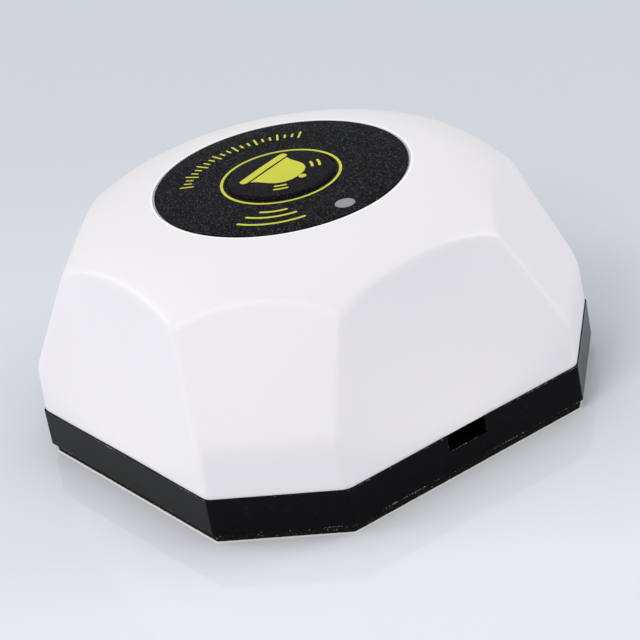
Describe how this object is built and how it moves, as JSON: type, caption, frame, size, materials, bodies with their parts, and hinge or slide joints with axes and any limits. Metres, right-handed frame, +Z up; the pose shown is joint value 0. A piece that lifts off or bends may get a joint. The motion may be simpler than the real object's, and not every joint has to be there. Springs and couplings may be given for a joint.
{
  "type": "waiter call button",
  "caption": "Table call button: a white dome shell with cut faces on a black tray, a round black label with a raised push button, an LED window and the radio board and battery inside.",
  "frame": {"origin": "middle of the underside, on the surface that the pad rests on", "axes": "+Z up through the button, +Y to the rear, where the LED window and the pry notch are, +X to the right when read from the front"},
  "size_m": [0.075, 0.075, 0.0397],
  "materials": {
    "shell_plastic": "satin warm white, slightly translucent moulded plastic",
    "base_plastic": "black moulded plastic, low sheen",
    "foam": "black closed-cell foam, matte",
    "liner_paper": "pale coated paper, matte",
    "label_print": "black fine-grained film with yellow print",
    "adhesive": "pale adhesive film",
    "window": "grey translucent film",
    "cap_plastic": "natural white moulded plastic",
    "switch_plastic": "black moulded plastic",
    "contact_steel": "bright nickelled steel",
    "board": "green solder mask",
    "led_resin": "milky clear resin",
    "tinned": "tinned metal",
    "chip_resin": "black moulded resin",
    "ceramic_dark": "dark ceramic body with tinned ends",
    "ceramic_tan": "tan ceramic body with tinned ends",
    "copper_wire": "enamelled copper wire",
    "holder_plastic": "black moulded plastic",
    "cell_steel": "nickelled steel can",
    "sleeve_film": "printed shrink sleeve, plain"
  },
  "bodies": {
    "base": {"base_tray": "base_plastic", "foam_pad": "foam", "pad_liner": "liner_paper"},
    "shell": {"shell": "shell_plastic", "label_film": "label_print", "label_adhesive": "adhesive", "led_window": "window", "switch_housing": "switch_plastic", "switch_snap_dome": "contact_steel", "switch_cover": "contact_steel", "switch_terminals": "tinned", "circuit_board": "board", "board_screws": "contact_steel", "status_led": "led_resin", "led_legs": "tinned", "encoder_chip": "chip_resin", "chip_leads": "tinned", "resonator_can": "tinned", "radio_transistor": "chip_resin", "chip_resistors": "ceramic_dark", "chip_capacitors": "ceramic_tan", "antenna_coil": "copper_wire", "battery_holder": "holder_plastic", "contact_plates": "contact_steel", "contact_spring": "contact_steel", "battery_cell": "cell_steel", "battery_sleeve": "sleeve_film"},
    "button": {"button_film": "label_print", "button_cap": "cap_plastic", "switch_stem": "switch_plastic"}
  },
  "joints": [
    {"name": "shell_lift", "type": "slide", "parent": "base", "child": "shell", "axis": [0, 0, 1], "range_m": [0, 0.045]},
    {"name": "button_press", "type": "slide", "parent": "shell", "child": "button", "axis": [0, 0, -1], "range_m": [0, 0.0003], "stiffness_N_per_m": 4000, "springref_m": -0.0001, "deforming": ["switch_snap_dome"]}
  ]
}
